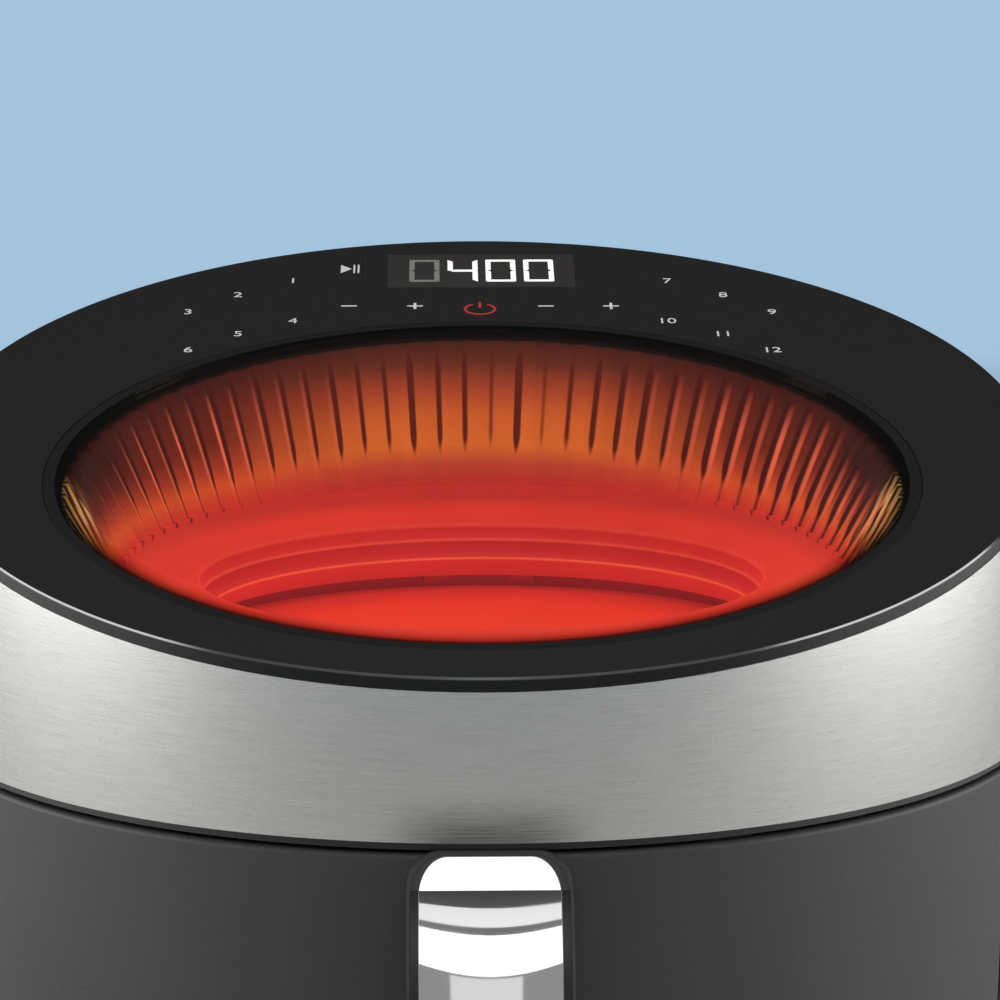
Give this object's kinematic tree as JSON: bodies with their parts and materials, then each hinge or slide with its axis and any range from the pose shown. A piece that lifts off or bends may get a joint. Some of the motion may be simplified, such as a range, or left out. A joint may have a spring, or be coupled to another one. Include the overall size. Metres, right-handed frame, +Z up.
{
  "type": "air fryer oven",
  "caption": "Round drawer air fryer: sloped touch panel with an oval window over a glowing bowl, steel band, pull-out drawer with a bowed chrome handle.",
  "frame": {"origin": "on the table under the middle of the whole part, level with the undersides of the feet", "axes": "+Z up, -Y out of the front where the handle is, +X to the right of a person facing the front"},
  "size_m": [0.326, 0.364, 0.3268],
  "materials": {
    "body_black": "fine-grained matte dark grey",
    "zinc": "zinc-plated",
    "red_glow": "glossy red enamel",
    "lens_black": "smoked display lens",
    "chamber_steel": "aluminised steel sheet",
    "black_satin": "satin black moulded panel",
    "rubber": "soft black rubber",
    "nonstick": "non-stick coating",
    "white_plastic": "natural",
    "magnet": "nickel-plated",
    "copper_glow": "pressed and lacquered copper colour",
    "chrome": "polished",
    "heater": "oxidised sheath",
    "wool": "mineral wool",
    "lamp": "lamp package",
    "board": "circuit board",
    "blue_plastic": "relay case",
    "seam_grey": "matte",
    "brushed_steel": "brushed round the body",
    "yellow_plastic": "taped winding",
    "silicone": "silicone",
    "glass": "clear, flat"
  },
  "bodies": {
    "housing": {"base_pan": "body_black", "base_screws": "zinc", "bowl_floor_disc": "red_glow", "capacitor": "lens_black", "chamber_liner": "chamber_steel", "chamber_top": "chamber_steel", "control_panel": "black_satin", "cord_gland": "rubber", "display_lens": "lens_black", "display_module": "white_plastic", "drawer_rail_left": "zinc", "drawer_rail_right": "zinc", "drawer_sensor": "white_plastic", "feet": "rubber", "fluted_reflector": "copper_glow", "heater_coil": "heater", "heater_guard": "zinc", "heater_supports": "zinc", "insulation_wool": "wool", "light_emitters": "lamp", "light_ring_board": "board", "lower_shell": "body_black", "motor_bracket": "zinc", "motor_housing": "zinc", "motor_screws": "zinc", "panel_screws": "zinc", "power_board": "board", "rear_vent_grille": "body_black", "reflector_screws": "zinc", "relay": "blue_plastic", "ribbon_cable": "white_plastic", "seam_ring": "seam_grey", "shaft_bearing": "zinc", "steel_band": "brushed_steel", "stepped_bowl": "red_glow", "temperature_probe": "zinc", "thermal_cutout": "white_plastic", "touch_board": "board", "transformer": "yellow_plastic", "upper_shell": "body_black", "window_bezel": "black_satin", "window_glass": "glass", "window_seal": "silicone"},
    "drawer": {"drawer_front": "body_black", "drawer_inner_door": "body_black", "drawer_pan": "nonstick", "pan_bracket": "zinc", "pan_screws": "zinc", "handle_grip": "body_black", "handle_face": "chrome", "handle_screws": "zinc", "door_magnet": "magnet"},
    "tray": {"crisper_tray": "nonstick", "tray_feet": "silicone"},
    "rotor": {"fan_shaft": "zinc", "motor_rotor": "magnet", "hot_air_fan": "zinc", "cooling_fan": "zinc", "fan_nut": "zinc"}
  },
  "joints": [
    {"name": "drawer_slide", "type": "slide", "parent": "housing", "child": "drawer", "axis": [0, -1, 0], "range_m": [0, 0.2]},
    {"name": "tray_lift", "type": "slide", "parent": "drawer", "child": "tray", "axis": [0, 0, 1], "range_m": [0, 0.06]},
    {"name": "fan_spin", "type": "hinge", "parent": "housing", "child": "rotor", "pos_m": [0, 0.019, 0.19], "axis": [0, 0, 1], "continuous": true}
  ]
}
